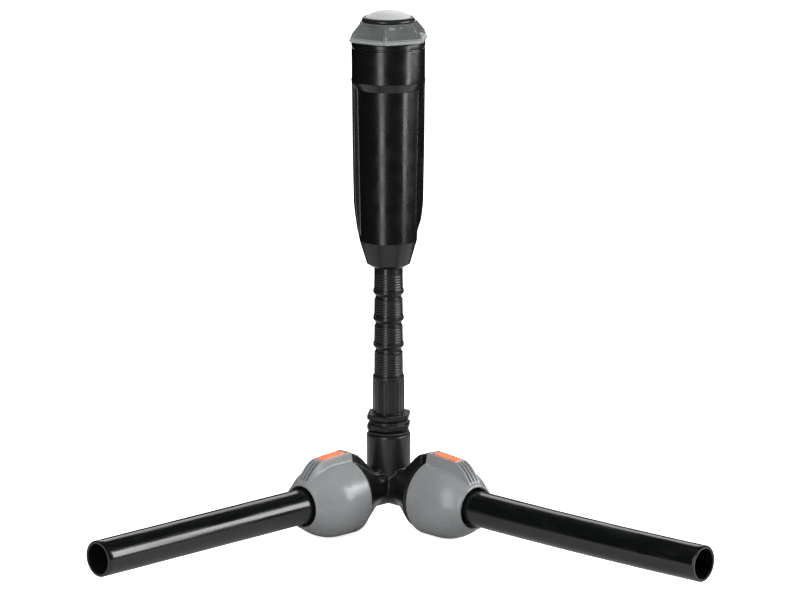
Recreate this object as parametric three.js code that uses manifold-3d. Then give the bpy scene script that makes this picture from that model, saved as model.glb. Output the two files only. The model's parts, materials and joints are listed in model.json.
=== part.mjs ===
// A turbine-driven pop-up lawn sprinkler on a cut-to-length riser and a corner tee, with a
// quick-release pipe connection on each arm of the tee. Millimetres, +Z up. The origin is where the
// two pipe axes cross the sprinkler's axis: the left pipe leaves along -X, the right one along -Y.
import * as THREE from "three";
import { mergeVertices } from "three/addons/utils/BufferGeometryUtils.js";
import Module from "manifold-3d";

const wasm = await Module();
wasm.setup();

// ---- driving dimensions ----

const FINE = 24; // facets round the large shells
const ROUND = 18; // facets round the middling pieces
const RISER_FACETS = 16;
const SMALL = 8; // facets round pins and small holes
const GAP = 0.3; // clearance between neighbouring pieces

const FACING = -50.5; // degrees: the sprinkler's front, screwed home between the two arms
const CASE_FACING = -44; // degrees: midway between the case's two fins
const RISER_FACING = -49.5; // degrees: the riser's front rib

const PIPE = { r: 12.5, wall: 2.3, start: 38, bendStart: 70 };
const PIPES = {
  left: { end: 270, bendRadius: Infinity },
  right: { end: 290, bendRadius: 2050 },
};
const TEE = {
  socketR: 15.7, // vertical socket
  socketTop: 38.6,
  socketFloor: 14,
  threadBore: 10.8,
  waterR: 9,
  neckR: 13.2, // where the arms meet
  flareStart: 19.5, // each neck opens out from here to the shoulder behind its nut
  shoulderR: 25.7,
  shoulderEnd: 40.6,
  lugHalf: 7, // half the width of the lug in line with the nut's pad
  barrelR: 24, // threaded barrel inside each nut
  barrelEnd: 60,
  pipeStop: 37,
  sealSeat: 46,
  sealR: 16.4,
};
const NUT = {
  back: 41.2,
  front: 85,
  r: 26.8,
  domeStart: 58,
  bore: 24.7, // clears the tee's threaded barrel
  boreEnd: 61,
  coneR: 20.6, // the cone that closes the grip ring
  coneStart: 62.4,
  coneEnd: 79,
  mouthR: 14.3, // round the pipe
  lipR: 15.9,
  padHalf: 8,
  padHigh: 32.8, // the pad's top, at its back and at its front
  padLow: 31,
  padEnd: 68.8,
};
const NUT_STANDOFF = { left: 0, right: 3 }; // how far each nut stands off the tee
const MARKER = { start: 46, length: 22, half: 3.8, seat: 31.2, height: 1.4, tilt: 3.8 };

const RISER = {
  bottom: 16,
  top: 174,
  bore: 7.5,
  threadR: 10.4,
  hexR: 17, // to the corners of the wrench flanges
  hexLow: [40.5, 45.9],
  hexHigh: [47.7, 53.1],
  ribTop: 81,
  ribR: 11.2,
  pitch: 19.25, // one cut-off length
  segments: 4,
  neckR: 9.4,
  collarR: 11,
  collar: 4.2,
};

const CASE = {
  bottom: 159.1,
  heel: 162,
  coneTop: 178.5,
  shoulderLow: 284.5,
  shoulderHigh: 291,
  top: 320,
  heelR: 15.4,
  coreLowR: 20.2,
  coreHighR: 22.1,
  bandR: 25.7,
  threadBore: 10.75,
  floor: 180,
  boreLowR: 18.2,
  boreHighR: 19.7,
  capBoreR: 23.3,
  capSeat: 291.5,
};
const FIN_HALF = 7; // half the width of a fin
const CAP = {
  skirtBottom: 293,
  skirtR: 23,
  sleeveBottom: 292,
  sleeveR: 15.9,
  rimBottom: 320.4,
  rimTop: 323.4,
  rimFlatR: 26.2, // hexagon across flats, halved
  rimCornerR: 29.2,
  sealSeat: 321.5, // the wiper seal sits between this and the lip
  lip: 332.2,
  lipR: 16.4,
  top: 333.9,
  topR: 19.4,
  ribs: 6,
};
const STEM = {
  bottom: 184.5,
  flangeTop: 188.2,
  flangeR: 17.8,
  r: 15.3,
  bore: 13.4,
  top: 304.4,
  bulkhead: [296.5, 299.5],
};
const SPRING = { bottom: 188.6, top: 289.8, r: 16.6, wire: 0.6, turns: 9 };
const TURRET = {
  bottom: 309.4,
  flange: 334.2,
  flangeR: 18.5,
  rimTop: 336.8,
  rimTopR: 16.7,
  recess: 335.5,
  recessR: 16.2,
  jetZ: 319,
  jetTilt: 25, // degrees above horizontal
  socketR: 4,
};
const COVER = { r: 15.9, shoulder: 337.4, top: 341 };
const SHAFT = { r: 4.1, bore: 2.6, top: 313.6 };
const GEAR = { module: 0.45, small: 10, large: 18, bore: 1.1, pin: 0.8, face: 2.5 };
const GEAR_OFFSET = (GEAR.module * (GEAR.small + GEAR.large)) / 2; // between the two axles

// ---- materials ----

const material = (color, roughness, metalness = 0) =>
  new THREE.MeshStandardMaterial({ color, roughness, metalness });
const MATERIAL = {
  black: material(0x1b1d1c, 0.42),
  pipe: material(0x161817, 0.3),
  grey: material(0x85888a, 0.38),
  lightGrey: material(0xc3c5c4, 0.45),
  orange: material(0xf06a22, 0.4),
  rubber: material(0x101010, 0.7),
  white: material(0xe6e4da, 0.45),
  steel: material(0xb9bcbe, 0.25, 1),
};

// ---- solids from three.js geometry ----

// A closed geometry as a manifold-3d solid, with its faces turned outwards.
function solid(geometry) {
  const bare = geometry.clone();
  for (const name of Object.keys(bare.attributes)) if (name !== "position") bare.deleteAttribute(name);
  const merged = mergeVertices(bare, 1e-4);
  const all = merged.index.array;
  const kept = [];
  for (let i = 0; i < all.length; i += 3) {
    const [a, b, c] = [all[i], all[i + 1], all[i + 2]];
    if (a !== b && b !== c && a !== c) kept.push(a, b, c);
  }
  const vertProperties = new Float32Array(merged.attributes.position.array);
  const build = (triVerts) => new wasm.Manifold(new wasm.Mesh({ numProp: 3, vertProperties, triVerts }));
  const made = build(new Uint32Array(kept));
  return made.volume() < 0 ? build(new Uint32Array(kept.reverse())) : made;
}

function geometryOf(made) {
  const mesh = made.getMesh();
  const vertices = new Float32Array(mesh.numVert * 3);
  for (let i = 0; i < mesh.numVert; i++) {
    vertices.set(mesh.vertProperties.subarray(i * mesh.numProp, i * mesh.numProp + 3), i * 3);
  }
  return new THREE.BufferGeometry()
    .setAttribute("position", new THREE.BufferAttribute(vertices, 3))
    .setIndex(new THREE.BufferAttribute(mesh.triVerts, 1));
}

// [radius, z] points turned about Z. A profile starts and ends on the axis or closes on itself.
function lathe(profile, facets = ROUND) {
  const points = profile.map(([r, z]) => new THREE.Vector2(r, z));
  return solid(new THREE.LatheGeometry(points, facets).rotateX(Math.PI / 2));
}

const closed = (profile) => [...profile, profile[0]];

const rod = (r, z0, z1, facets = ROUND) =>
  lathe([[0, z0], [r, z0], [r, z1], [0, z1]], facets);

const ring = (inner, outer, z0, z1, facets = ROUND) =>
  lathe(closed([[inner, z0], [outer, z0], [outer, z1], [inner, z1]]), facets);

function box(x0, x1, y0, y1, z0, z1) {
  const size = new THREE.BoxGeometry(x1 - x0, y1 - y0, z1 - z0);
  return solid(size.translate((x0 + x1) / 2, (y0 + y1) / 2, (z0 + z1) / 2));
}

// A plane outline of [x, y] points raised from z0 to z1.
function prism(outline, z0, z1) {
  const shape = new THREE.Shape(outline.map(([x, y]) => new THREE.Vector2(x, y)));
  const geometry = new THREE.ExtrudeGeometry(shape, { depth: z1 - z0, bevelEnabled: false });
  return solid(geometry.translate(0, 0, z0));
}

const polar = (r, angle) => [r * Math.cos(angle), r * Math.sin(angle)];

const hexagon = (cornerR) =>
  Array.from({ length: 6 }, (_, i) => polar(cornerR, -Math.PI / 2 + (i * Math.PI) / 3));

// The same solid repeated round Z, joined.
function around(count, made) {
  let all = made;
  for (let i = 1; i < count; i++) all = all.add(made.rotate([0, 0, (360 * i) / count]));
  return all;
}

function add(group, name, made, surface) {
  const mesh = new THREE.Mesh(geometryOf(made), surface);
  mesh.name = name;
  group.add(mesh);
  return mesh;
}

// ---- corner tee ----

// One arm along +Z: a neck that flares to the shoulder behind the nut, then the threaded barrel.
function teeArm() {
  const turned = lathe(
    [
      [0, 0],
      [TEE.neckR, 0],
      [TEE.neckR, TEE.flareStart],
      [TEE.shoulderR, TEE.shoulderEnd - 0.6],
      [TEE.shoulderR, TEE.shoulderEnd],
      [TEE.barrelR, TEE.shoulderEnd],
      [TEE.barrelR, TEE.barrelEnd],
      [0, TEE.barrelEnd],
    ],
    FINE,
  );
  // The lug's side view, [along the pipe, above its axis]: it climbs from the socket to the pad.
  const lugSide = [
    [6, 10],
    [24, 12],
    [TEE.shoulderEnd, 20],
    [TEE.shoulderEnd, NUT.padHigh - 0.4],
    [34, 30],
    [28, 27],
    [14, 20.3],
    [6, 16.4],
  ];
  return turned.add(prism(lugSide, -TEE.lugHalf, TEE.lugHalf).rotate([0, -90, 0]));
}

const teeArmBore = () =>
  rod(TEE.waterR, 0, TEE.pipeStop + 1)
    .add(rod(PIPE.r + GAP, TEE.pipeStop, TEE.barrelEnd + 1))
    .add(rod(TEE.sealR, TEE.sealSeat, TEE.barrelEnd + 1));

const alongMinusY = (made) => made.rotate([90, 0, 0]);
const alongMinusX = (made) => made.rotate([90, 0, 0]).rotate([0, 0, -90]);

function cornerTee() {
  const socket = rod(TEE.socketR, 0, TEE.socketTop, FINE).add(
    solid(new THREE.SphereGeometry(TEE.neckR, 20, 10)),
  );
  const bores = rod(TEE.waterR, 0, TEE.socketFloor + 1)
    .add(rod(TEE.threadBore, TEE.socketFloor, TEE.socketTop + 1))
    .add(alongMinusX(teeArmBore()))
    .add(alongMinusY(teeArmBore()));
  return socket.add(alongMinusX(teeArm())).add(alongMinusY(teeArm())).subtract(bores);
}

// ---- pipe connection, built along +Z with its top side towards +Y ----

function unionNut() {
  const dome = new THREE.CubicBezierCurve(
    new THREE.Vector2(NUT.r, NUT.domeStart),
    new THREE.Vector2(NUT.r - 0.2, NUT.domeStart + 10),
    new THREE.Vector2(22, NUT.front - 9),
    new THREE.Vector2(NUT.lipR + 0.8, NUT.front - 1.4),
  );
  const shell = lathe(
    closed([
      [NUT.bore, NUT.back],
      [NUT.r - 0.5, NUT.back],
      [NUT.r, NUT.back + 0.8],
      ...dome.getPoints(5).map((p) => [p.x, p.y]),
      [NUT.lipR, NUT.front],
      [NUT.mouthR, NUT.front],
      [NUT.mouthR, NUT.coneEnd],
      [NUT.coneR, NUT.coneStart],
      [NUT.coneR, NUT.boreEnd],
      [NUT.bore, NUT.boreEnd],
    ]),
    FINE,
  );
  // The pad's side view, [along the pipe, above its axis], with a land that follows the dome.
  const padSide = [
    [NUT.back + 0.6, NUT.bore + 0.3],
    [NUT.coneStart, NUT.bore + 0.3],
    [80, 17],
    [83, 16.4],
    [83, 18],
    [80.4, 22.4],
    [77, 26.2],
    [73, 29],
    [NUT.padEnd, NUT.padLow],
    [NUT.back + 0.6, NUT.padHigh],
  ];
  const pad = prism(padSide, -NUT.padHalf, NUT.padHalf).rotate([0, -90, 0]);
  return shell.add(pad).subtract(onPad(GAP, 0, 4));
}

// A bar sunk in the pad and sloping with it, grown by a margin and raised from one height to another.
function onPad(margin, from, to) {
  const half = MARKER.half + margin;
  return box(-half, half, from, to, -margin, MARKER.length + margin)
    .rotate([MARKER.tilt, 0, 0])
    .translate([0, MARKER.seat, MARKER.start]);
}

const marker = () => onPad(0, GAP, MARKER.height);

// A collet of hard plastic, split so that the nut's cone can close it on the pipe.
function gripRing() {
  const inner = PIPE.r + GAP;
  const body = lathe(
    closed([[inner, 54], [16, 54], [16, 60.6], [19.6, 61.3], [19.6, 62.2], [14, 74], [inner, 74]]),
  );
  return body.subtract(box(-0.9, 0.9, -25, 0, 50, 80));
}

function pipeSeal() {
  const section = Array.from({ length: 8 }, (_, i) => {
    const [r, z] = polar(1.65, (i * Math.PI) / 4);
    return [14.5 + r, 48 + z];
  });
  return lathe(closed(section));
}

// A straight stretch along +Z, then an arc that swings towards +X.
class BentRun extends THREE.Curve {
  constructor(start, end, bendRadius) {
    super();
    Object.assign(this, { start, end, bendRadius });
  }

  getPoint(t, target = new THREE.Vector3()) {
    const along = this.start + (this.end - this.start) * t;
    if (along <= PIPE.bendStart) return target.set(0, 0, along);
    const angle = (along - PIPE.bendStart) / this.bendRadius;
    const x = this.bendRadius * (1 - Math.cos(angle));
    return target.set(x, 0, PIPE.bendStart + this.bendRadius * Math.sin(angle));
  }
}

function supplyPipe({ end, bendRadius }) {
  const bore = PIPE.r - PIPE.wall;
  if (!Number.isFinite(bendRadius)) return ring(bore, PIPE.r, PIPE.start, end);
  const section = new THREE.Shape().absarc(0, 0, PIPE.r, 0, 2 * Math.PI);
  section.holes.push(new THREE.Path().absarc(0, 0, bore, 0, 2 * Math.PI, true));
  const extrudePath = new BentRun(PIPE.start, end, bendRadius);
  return solid(new THREE.ExtrudeGeometry(section, { steps: 8, curveSegments: 10, extrudePath }));
}

function pipeConnection(side) {
  const group = new THREE.Group();
  add(group, `union_nut_${side}`, unionNut(), MATERIAL.grey).position.z = NUT_STANDOFF[side];
  add(group, `lock_marker_${side}`, marker(), MATERIAL.orange).position.z = NUT_STANDOFF[side];
  add(group, `pipe_seal_${side}`, pipeSeal(), MATERIAL.rubber);
  add(group, `thrust_ring_${side}`, ring(PIPE.r + GAP, 16, 50.2, 53.4), MATERIAL.white);
  add(group, `grip_ring_${side}`, gripRing(), MATERIAL.white);
  add(group, `supply_pipe_${side}`, supplyPipe(PIPES[side]), MATERIAL.pipe);
  group.rotation.set(Math.PI / 2, 0, side === "left" ? -Math.PI / 2 : 0, "ZYX");
  return group;
}

// ---- riser ----

// One cut-off length, from its collar up to the neck where it can be sawn off.
const riserSegment = (z) => [
  [RISER.collarR - 0.4, z],
  [RISER.collarR, z + 0.8],
  [RISER.collarR, z + RISER.collar - 0.6],
  [RISER.threadR, z + RISER.collar],
  [RISER.threadR - 0.3, z + RISER.pitch - 3],
  [RISER.neckR, z + RISER.pitch - 2],
  [RISER.neckR, z + RISER.pitch],
];

function riser() {
  const outline = [
    [RISER.bore, RISER.bottom],
    [RISER.threadR, RISER.bottom],
    [RISER.threadR, RISER.hexLow[0]],
    [14.3, RISER.hexLow[0]],
    [14.3, RISER.hexHigh[1]],
    [RISER.threadR, RISER.hexHigh[1]],
    [RISER.threadR, RISER.ribTop - 3.2],
    [RISER.ribR, RISER.ribTop - 2.6],
    [RISER.ribR, RISER.ribTop - 0.6],
    [RISER.threadR, RISER.ribTop],
    [RISER.threadR - 0.3, RISER.ribTop + RISER.pitch - 3],
    [RISER.neckR, RISER.ribTop + RISER.pitch - 2],
    [RISER.neckR, RISER.ribTop + RISER.pitch],
  ];
  for (let i = 1; i < RISER.segments; i++) {
    outline.push(...riserSegment(RISER.ribTop + i * RISER.pitch));
  }
  outline.push([RISER.threadR - 0.2, RISER.ribTop + RISER.segments * RISER.pitch + 1]);
  outline.push([RISER.threadR - 0.2, RISER.top], [RISER.bore, RISER.top]);
  const rib = box(-0.9, 0.9, -RISER.ribR, -9, RISER.hexHigh[1] - 1, RISER.ribTop - 2);
  return lathe(closed(outline), RISER_FACETS)
    .add(prism(hexagon(RISER.hexR), ...RISER.hexLow).subtract(rod(9, 30, 60)))
    .add(prism(hexagon(RISER.hexR), ...RISER.hexHigh).subtract(rod(9, 30, 60)))
    .add(around(8, rib));
}

// ---- sprinkler case and cap ----

// A broad side fin that steadies the case in the ground, tapered off at its foot.
function fin(footZ, footR) {
  const outline = [
    [19.6, footZ],
    [footR, footZ],
    [24.4, 204],
    [25.4, CASE.shoulderHigh],
    [20.2, CASE.shoulderHigh],
    [19.9, 204],
  ];
  return prism(outline, -FIN_HALF, FIN_HALF).rotate([90, 0, 0]);
}

function caseShell() {
  const outline = [
    [CASE.threadBore, CASE.bottom],
    [11.3, CASE.bottom],
    [CASE.heelR, CASE.heel],
    [CASE.coreLowR, CASE.coneTop],
    [CASE.coreHighR, CASE.shoulderLow],
    [CASE.bandR - 0.1, CASE.shoulderHigh],
    [CASE.bandR, CASE.top - 6],
    [CASE.bandR + 0.3, CASE.top - 5.4],
    [CASE.bandR + 0.3, CASE.top],
    [CASE.capBoreR, CASE.top],
    [CASE.capBoreR, CASE.capSeat],
    [CASE.boreHighR, CASE.capSeat - 0.6],
    [CASE.boreHighR, CASE.shoulderLow],
    [CASE.boreLowR, CASE.floor + 2],
    [17, CASE.floor],
    [TEE.waterR, CASE.floor],
    [TEE.waterR, CASE.floor - 3],
    [CASE.threadBore, CASE.floor - 3],
  ];
  const leftFin = fin(176, 20.1).rotate([0, 0, 180]);
  return lathe(closed(outline), FINE).add(fin(187, 20.6)).add(leftFin);
}

function capShell() {
  const dome = new THREE.QuadraticBezierCurve(
    new THREE.Vector2(25.4, CAP.rimTop + 1),
    new THREE.Vector2(23.8, CAP.top - 3.7),
    new THREE.Vector2(CAP.topR, CAP.top - 0.4),
  );
  const turned = lathe(
    closed([
      [CAP.sleeveR, CAP.sleeveBottom],
      [18.2, CAP.sleeveBottom],
      [18.2, 312],
      [20.6, 312],
      [20.6, CAP.skirtBottom],
      [CAP.skirtR, CAP.skirtBottom],
      [CAP.skirtR, CAP.rimBottom],
      [CAP.rimCornerR, CAP.rimBottom],
      [CAP.rimCornerR, CAP.rimTop - 0.6],
      ...dome.getPoints(4).map((p) => [p.x, p.y]),
      [CAP.topR - 0.6, CAP.top],
      [CAP.lipR, CAP.top],
      [CAP.lipR, CAP.lip],
      [18.9, CAP.lip],
      [18.9, CAP.sealSeat],
      [CAP.sleeveR, CAP.sealSeat],
    ]),
    FINE,
  );
  const flats = prism(hexagon(CAP.rimFlatR / Math.cos(Math.PI / 6)), CASE.floor, CAP.top + 1);
  const ribOutline = [
    [22, CAP.rimTop - 2],
    [28.6, CAP.rimTop - 2],
    [28.6, CAP.rimTop],
    [26.4, 326.6],
    [23.9, 329.6],
    [20.6, CAP.top - 0.5],
    [19.2, CAP.top - 0.5],
  ];
  const rib = prism(ribOutline, -0.9, 0.9).rotate([90, 0, 0]).rotate([0, 0, -90]);
  const hollow = rod(19, CAP.skirtBottom, CAP.top - 0.9);
  return turned.intersect(flats).add(around(CAP.ribs, rib).subtract(hollow));
}

function wiperSeal() {
  const lip = STEM.r + GAP;
  return lathe(
    closed([
      [16.2, CAP.sealSeat + GAP],
      [18.5, CAP.sealSeat + GAP],
      [18.5, CAP.lip - GAP],
      [16.7, CAP.lip - GAP],
      [16.2, 327],
      [lip, 323.2],
    ]),
  );
}

function retractionSpring() {
  class Helix extends THREE.Curve {
    getPoint(t, target = new THREE.Vector3()) {
      const [x, y] = polar(SPRING.r, 2 * Math.PI * SPRING.turns * t);
      const ends = SPRING.wire * 1.2;
      return target.set(x, y, SPRING.bottom + ends + (SPRING.top - SPRING.bottom - 2 * ends) * t);
    }
  }
  const wire = new THREE.Shape().absarc(0, 0, SPRING.wire, 0, 2 * Math.PI);
  return solid(
    new THREE.ExtrudeGeometry(wire, {
      steps: SPRING.turns * 14,
      curveSegments: 2,
      extrudePath: new Helix(),
    }),
  );
}

// ---- pop-up stem ----

function stem() {
  const [low, high] = STEM.bulkhead;
  const tube = lathe(
    closed([
      [STEM.bore, STEM.bottom],
      [STEM.flangeR, STEM.bottom],
      [STEM.flangeR, STEM.flangeTop],
      [STEM.r, STEM.flangeTop],
      [STEM.r, STEM.top],
      [STEM.bore, STEM.top],
      [STEM.bore, high],
      [SHAFT.r + GAP, high],
      [SHAFT.r + GAP, low],
      [STEM.bore, low],
    ]),
    FINE,
  );
  const pivotHole = rod(1.1, low - 1, high + 1, SMALL).translate([0, 8.4, 0]);
  return tube.subtract(pivotHole);
}

// A basket with a slotted wall and floor, which strains the water before it reaches the turbine.
function inletFilter() {
  const basket = lathe([
    [0, 181], [11.6, 181], [12.9, 182.2], [12.9, 208], [11.9, 208], [11.9, 182.8], [0, 182.8],
  ]);
  const wallSlot = box(-0.7, 0.7, -14, -10, 190, 205);
  const floorSlot = box(-0.7, 0.7, -10, -3.5, 180, 184);
  return basket.subtract(around(12, wallSlot)).subtract(around(12, floorSlot));
}

function statorPlate() {
  const jet = box(-1.2, 1.2, -11, -6, 205, 216);
  return ring(GEAR.pin + 0.2, 13.1, 209.2, 212.2).subtract(around(6, jet));
}

// ---- gear train ----

// A spur gear outline with slim teeth, so that neighbours run with backlash.
function gearOutline(teeth, phase) {
  const pitchR = (GEAR.module * teeth) / 2;
  const rootR = pitchR - 1.1 * GEAR.module;
  const tipR = pitchR + 0.8 * GEAR.module;
  const step = (2 * Math.PI) / teeth;
  const outline = [];
  for (let i = 0; i < teeth; i++) {
    const centre = phase + i * step;
    outline.push(polar(rootR, centre - 0.29 * step), polar(tipR, centre - 0.1 * step));
    outline.push(polar(tipR, centre + 0.1 * step), polar(rootR, centre + 0.29 * step));
  }
  return outline;
}

const bored = (made, r = GEAR.bore) => made.subtract(rod(r, 200, 250, SMALL));

// A large gear with a small one moulded on top of it. towards is the direction of the other axle.
function compoundGear(z, towards) {
  const halfTooth = Math.PI / GEAR.large;
  const large = prism(gearOutline(GEAR.large, towards + halfTooth), z, z + GEAR.face);
  const small = prism(gearOutline(GEAR.small, towards), z + GEAR.face - 0.1, z + GEAR.face + 3.6);
  return bored(large.add(small));
}

function turbineWheel() {
  const blade = box(-0.4, 0.4, -11.4, -1.6, -4, 4).rotate([0, 35, 0]).translate([0, 0, 216.3]);
  const blades = around(12, blade).intersect(rod(11.4, 213.2, 219.4));
  const hub = rod(2, 213.2, 223.9, SMALL);
  const pinion = prism(gearOutline(GEAR.small, 0), 223.8, 226.7);
  return bored(hub.add(blades).add(pinion));
}

function outputShaft() {
  const gear = prism(gearOutline(GEAR.large, Math.PI / GEAR.large), 234.8, 237.3);
  const tube = rod(SHAFT.r, 238.1, SHAFT.top).subtract(rod(SHAFT.bore, 240, SHAFT.top + 1));
  const neck = rod(3.2, 237.2, 238.2);
  const window = box(-1.6, 1.6, -6, 6, 246, 262);
  return gear
    .add(neck)
    .add(tube.subtract(window).subtract(window.rotate([0, 0, 90])))
    .subtract(rod(GEAR.bore, 230, 238.4, SMALL));
}

function gearCaseFloor() {
  const lug = box(-1.6, 1.6, -13.1, -11.4, 221, 223.2);
  const axleHole = rod(GEAR.pin + 0.2, 220, 225, SMALL).translate([GEAR_OFFSET, 0, 0]);
  return ring(2.4, 12, 221, 223.2).add(around(3, lug)).subtract(axleHole);
}

function gearCaseCover() {
  return lathe(
    closed([
      [11.2, 223.4], [12, 223.4], [12, 241], [SHAFT.r + GAP, 241], [SHAFT.r + GAP, 239.2], [11.2, 239.2],
    ]),
  );
}

// ---- reversing gear and nozzle head ----

// The lever that the arc ring's stop pushes over to reverse the sweep.
function tripLever() {
  const pivot = rod(2.2, 300, 303.6, SMALL).add(rod(0.8, 297, 300.2, SMALL)).translate([0, 8.4, 0]);
  return pivot.add(box(-0.7, 0.7, 9.5, 12.3, 300.4, 303.2)).add(box(-4.2, 4.2, 7.6, 9.2, 300.4, 301.8));
}

function arcRing() {
  return ring(10, STEM.r, 304.8, 309, FINE).add(
    box(-1, 1, -13.1, -12.65, 300.6, 305),
  );
}

function jetRod(r, from, to) {
  return rod(r, from, to, 12).rotate([90 - TURRET.jetTilt, 0, 0]).translate([0, 0, TURRET.jetZ]);
}

const screwAt = (made) => made.translate([0, -12.6, 0]);

function nozzleTurret() {
  const body = lathe(
    [
      [0, TURRET.bottom],
      [STEM.r, TURRET.bottom],
      [STEM.r, TURRET.flange],
      [TURRET.flangeR, TURRET.flange],
      [TURRET.flangeR, TURRET.flange + 1],
      [TURRET.rimTopR, TURRET.rimTop],
      [TURRET.recessR, TURRET.rimTop],
      [TURRET.recessR, TURRET.recess],
      [0, TURRET.recess],
    ],
    FINE,
  );
  return body
    .subtract(rod(SHAFT.r + GAP, 300, 314))
    .subtract(rod(2.8, 313, TURRET.jetZ))
    .subtract(solid(new THREE.SphereGeometry(TURRET.socketR, 12, 8)).translate([0, 0, TURRET.jetZ]))
    .subtract(jetRod(TURRET.socketR, 0, 22))
    .subtract(screwAt(rod(1.5, 326, 340, SMALL)));
}

const nozzleInsert = () => jetRod(3.7, 5, 12.4).subtract(jetRod(1.5, 4, 14));

function turretCover() {
  const dome = new THREE.QuadraticBezierCurve(
    new THREE.Vector2(COVER.r, COVER.shoulder),
    new THREE.Vector2(9.5, COVER.top),
    new THREE.Vector2(0, COVER.top),
  );
  const edge = TURRET.recess + GAP;
  const body = lathe([[0, edge], [COVER.r, edge], ...dome.getPoints(4).map((p) => [p.x, p.y])], FINE);
  return body.subtract(screwAt(rod(1.6, 330, 345, SMALL)));
}

function radiusScrew() {
  const slot = box(-0.3, 0.3, -2, 2, 335.3, 337);
  return screwAt(rod(1.2, 330.6, 336.1, SMALL).subtract(slot));
}

// ---- assembly ----

function sprinkler() {
  const group = new THREE.Group();
  const caseMesh = add(group, "body_case", caseShell(), MATERIAL.black);
  caseMesh.rotation.z = THREE.MathUtils.degToRad(CASE_FACING - FACING);
  add(group, "retaining_cap", capShell(), MATERIAL.grey);
  add(group, "cap_seal", ring(20.8, 22.8, 291.8, 292.7), MATERIAL.rubber);
  add(group, "wiper_seal", wiperSeal(), MATERIAL.rubber);
  add(group, "spring_washer", ring(15.9, 19.3, 290.2, 291.6), MATERIAL.white);
  add(group, "retraction_spring", retractionSpring(), MATERIAL.steel);
  add(group, "popup_stem", stem(), MATERIAL.black);
  add(group, "inlet_filter", inletFilter(), MATERIAL.white);
  add(group, "stator_plate", statorPlate(), MATERIAL.white);
  add(group, "centre_axle", rod(GEAR.pin, 209.4, 237.9, SMALL), MATERIAL.steel);
  const offset = (made) => made.translate([GEAR_OFFSET, 0, 0]);
  add(group, "offset_axle", offset(rod(GEAR.pin, 221.2, 238.8, SMALL)), MATERIAL.steel);
  add(group, "gear_case_floor", gearCaseFloor(), MATERIAL.white);
  add(group, "gear_case_cover", gearCaseCover(), MATERIAL.white);
  add(group, "turbine_wheel", turbineWheel(), MATERIAL.white);
  add(group, "reduction_gear_1", offset(compoundGear(224.1, Math.PI)), MATERIAL.white);
  add(group, "reduction_gear_2", compoundGear(227.6, 0), MATERIAL.white);
  add(group, "reduction_gear_3", offset(compoundGear(231.2, Math.PI)), MATERIAL.white);
  add(group, "output_shaft", outputShaft(), MATERIAL.white);
  add(group, "trip_lever", tripLever(), MATERIAL.white);
  add(group, "arc_ring", arcRing(), MATERIAL.black);
  const head = new THREE.Group(); // its nozzle faces away from the pipes
  add(head, "nozzle_turret", nozzleTurret(), MATERIAL.black);
  add(head, "nozzle_insert", nozzleInsert(), MATERIAL.grey);
  add(head, "turret_cover", turretCover(), MATERIAL.lightGrey);
  add(head, "radius_screw", radiusScrew(), MATERIAL.steel);
  head.rotation.z = Math.PI;
  group.add(head);
  group.rotation.z = THREE.MathUtils.degToRad(FACING);
  return group;
}

function riserGroup() {
  const group = new THREE.Group();
  add(group, "extension_riser", riser(), MATERIAL.black);
  add(group, "riser_gasket", ring(10.8, 14.6, 38.8, 40.3), MATERIAL.rubber);
  group.rotation.z = THREE.MathUtils.degToRad(RISER_FACING);
  return group;
}

const assembly = new THREE.Group();
add(assembly, "corner_tee", cornerTee(), MATERIAL.black);
assembly.add(pipeConnection("left"), pipeConnection("right"), riserGroup(), sprinkler());

export default assembly;
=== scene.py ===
"""A pop-up lawn sprinkler on a cut-to-length riser and a corner tee, with two quick-release pipe nuts.

Fine meshes stand for the shells that can be seen. Lengths in the builders are millimetres in the CAD frame;
finish_mesh() turns them into metres.
"""

import json
import math

import bmesh
import bpy
import numpy as np
from mathutils import Matrix, Vector


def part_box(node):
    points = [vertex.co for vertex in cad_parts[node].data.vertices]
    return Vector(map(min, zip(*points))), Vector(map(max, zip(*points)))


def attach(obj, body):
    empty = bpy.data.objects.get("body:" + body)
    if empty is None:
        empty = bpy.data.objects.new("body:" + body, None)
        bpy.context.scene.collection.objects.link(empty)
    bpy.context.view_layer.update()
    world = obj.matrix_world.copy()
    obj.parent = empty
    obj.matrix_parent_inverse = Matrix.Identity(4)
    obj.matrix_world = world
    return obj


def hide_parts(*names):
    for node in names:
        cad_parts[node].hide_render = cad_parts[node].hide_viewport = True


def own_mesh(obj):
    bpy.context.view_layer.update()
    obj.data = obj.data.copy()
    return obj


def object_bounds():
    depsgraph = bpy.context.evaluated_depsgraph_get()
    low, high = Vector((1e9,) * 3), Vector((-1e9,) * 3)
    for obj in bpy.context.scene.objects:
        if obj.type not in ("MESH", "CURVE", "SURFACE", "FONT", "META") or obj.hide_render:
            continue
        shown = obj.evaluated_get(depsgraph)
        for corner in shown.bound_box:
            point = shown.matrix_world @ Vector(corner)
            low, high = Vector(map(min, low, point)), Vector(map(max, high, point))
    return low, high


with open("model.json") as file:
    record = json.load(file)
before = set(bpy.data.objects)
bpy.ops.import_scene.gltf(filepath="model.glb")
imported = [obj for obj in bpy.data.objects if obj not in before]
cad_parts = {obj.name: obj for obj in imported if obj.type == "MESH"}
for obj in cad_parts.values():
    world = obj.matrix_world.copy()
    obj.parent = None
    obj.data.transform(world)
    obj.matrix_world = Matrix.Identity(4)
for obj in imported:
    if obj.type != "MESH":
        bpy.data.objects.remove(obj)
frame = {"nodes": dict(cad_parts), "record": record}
CAD_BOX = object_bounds()

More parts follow.
